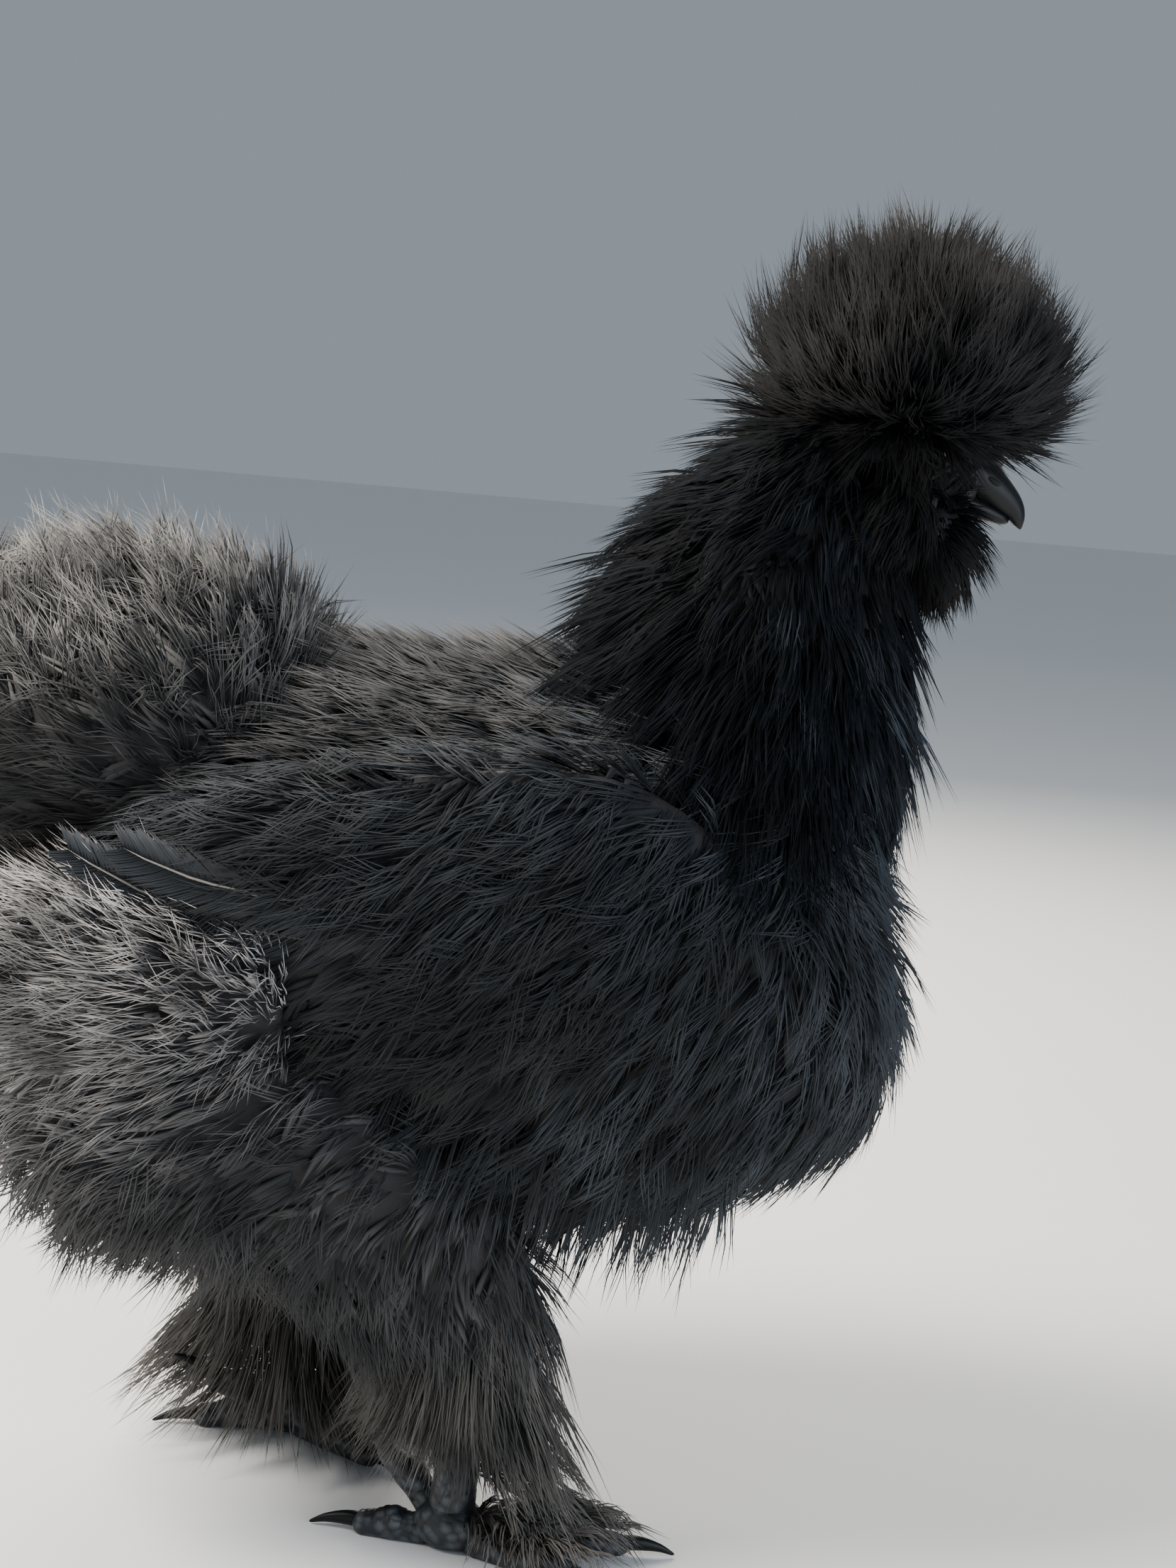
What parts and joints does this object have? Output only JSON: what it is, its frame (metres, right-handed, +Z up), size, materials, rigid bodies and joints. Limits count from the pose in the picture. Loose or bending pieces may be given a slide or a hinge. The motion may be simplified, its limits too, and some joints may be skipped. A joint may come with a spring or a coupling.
{
  "type": "silkie hen",
  "caption": "Life-size standing bearded silkie hen with a round crest, beard and muffs, silky body plumage, a cushion tail and feathered five-toed feet.",
  "frame": {"origin": "middle of the bird's outline on the floor that it stands on", "axes": "+X the way the bird faces, +Y its left side, +Z up"},
  "size_m": [0.3112, 0.1714, 0.3339],
  "materials": {
    "plumage": "silky black feather",
    "pale_down": "soft grey down",
    "bare_skin": "dark mulberry skin",
    "horn": "smooth dark horn",
    "leg_scales": "slate blue scales",
    "eye": "wet dark brown"
  },
  "bodies": {
    "root": {"eye_right": "eye", "eye_left": "eye", "head": "bare_skin", "beak_upper": "horn", "beak_lower": "horn", "comb": "bare_skin", "ear_lobe_right": "bare_skin", "ear_lobe_left": "bare_skin", "crest": "plumage", "beard": "plumage", "muff_right": "plumage", "muff_left": "plumage", "neck": "plumage", "wing_right": "plumage", "wing_left": "plumage", "torso": "plumage", "tail": "plumage", "leg_right": "pale_down", "leg_left": "pale_down", "shank_right": "leg_scales", "foot_right": "leg_scales", "toe_inner_right": "leg_scales", "claw_inner_right": "horn", "toe_middle_right": "leg_scales", "claw_middle_right": "horn", "toe_outer_right": "leg_scales", "claw_outer_right": "horn", "toe_hind_right": "leg_scales", "claw_hind_right": "horn", "toe_fifth_right": "leg_scales", "claw_fifth_right": "horn", "shank_left": "leg_scales", "foot_left": "leg_scales", "toe_inner_left": "leg_scales", "claw_inner_left": "horn", "toe_middle_left": "leg_scales", "claw_middle_left": "horn", "toe_outer_left": "leg_scales", "claw_outer_left": "horn", "toe_hind_left": "leg_scales", "claw_hind_left": "horn", "toe_fifth_left": "leg_scales", "claw_fifth_left": "horn"}
  },
  "joints": []
}
